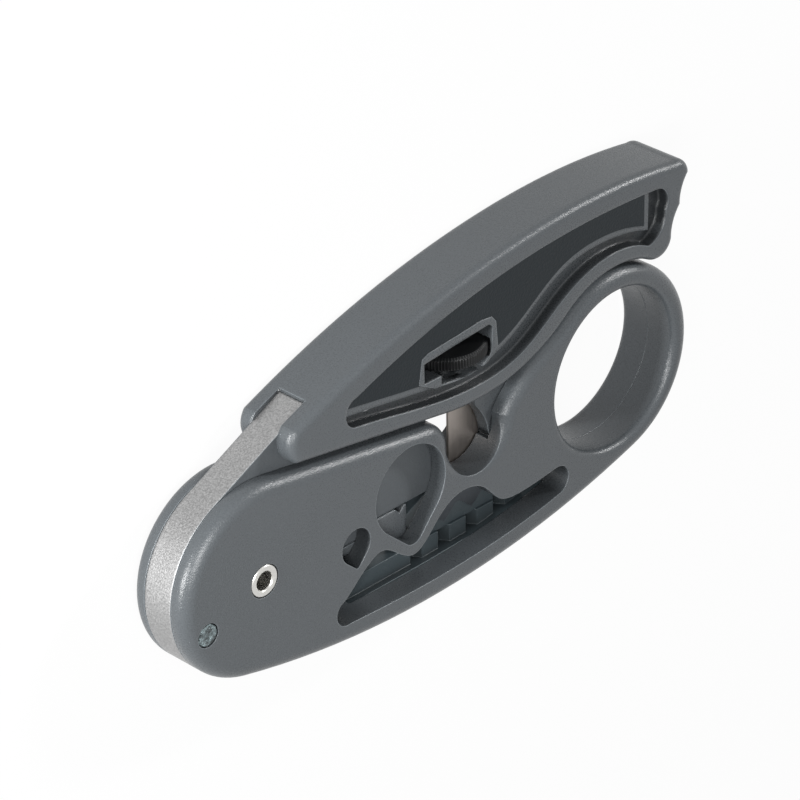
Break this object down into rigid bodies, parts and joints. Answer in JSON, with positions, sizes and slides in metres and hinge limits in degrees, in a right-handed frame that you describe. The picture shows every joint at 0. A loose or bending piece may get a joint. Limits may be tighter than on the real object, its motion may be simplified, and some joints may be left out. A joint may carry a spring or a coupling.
{
  "type": "cable jacket stripper",
  "caption": "Hand tool that strips cable jackets and wires: a flat grey body with a finger ring, a hooked lever that swings on the nose, and a blade set by a knurled wheel.",
  "frame": {"origin": "on the axis of the pivot eyelet, half way through the tool", "axes": "+X from the rounded nose to the finger ring, +Y towards the lever, +Z out of the front face along the pivot axis"},
  "size_m": [0.1241, 0.0635, 0.015],
  "materials": {
    "housing": "satin, fine moulded grain",
    "insert": "satin",
    "wheel": "satin",
    "label": "textured film",
    "nickel": "bright nickel plate",
    "steel": "bright",
    "blade_steel": "ground",
    "dark_steel": "blackened, bright edges"
  },
  "bodies": {
    "shell_body": {"front_shell": "housing", "rear_shell": "housing", "shell_dowels": "steel", "pivot_eyelet": "nickel", "pivot_bush": "steel", "stop_pin": "dark_steel", "pivot_spring": "steel", "anvil_jaw": "housing", "wire_comb": "insert", "wire_blade": "dark_steel"},
    "lever": {"lever_arm": "housing", "lever_handle": "housing", "arm_pins": "steel", "lever_label": "label", "spindle_bush": "steel", "detent_leaf": "steel", "thrust_washer": "steel"},
    "adjuster": {"adjuster_wheel": "wheel", "adjuster_spindle": "steel", "spacer_sleeve": "wheel"},
    "carriage": {"blade_carriage": "housing", "jacket_blade": "blade_steel", "blade_rivets": "steel"}
  },
  "joints": [
    {"name": "lever_pivot", "type": "hinge", "parent": "shell_body", "child": "lever", "pos_m": [0, 0, 0], "axis": [0, 0, 1], "range_deg": [0, 22], "stiffness_Nm_per_rad": 0.15, "springref_deg": -20.05, "deforming": ["pivot_spring"]},
    {"name": "wheel_turn", "type": "hinge", "parent": "lever", "child": "adjuster", "pos_m": [0.0494, 0.0217, 0], "axis": [0, 1, 0], "range_deg": [0, 1080]},
    {"name": "blade_slide", "type": "slide", "parent": "lever", "child": "carriage", "axis": [0, 1, 0], "range_m": [0, 0.003]}
  ],
  "couplings": [
    {"joint": "wheel_turn", "follows": "blade_slide", "rad_per_m": 6283.2}
  ]
}
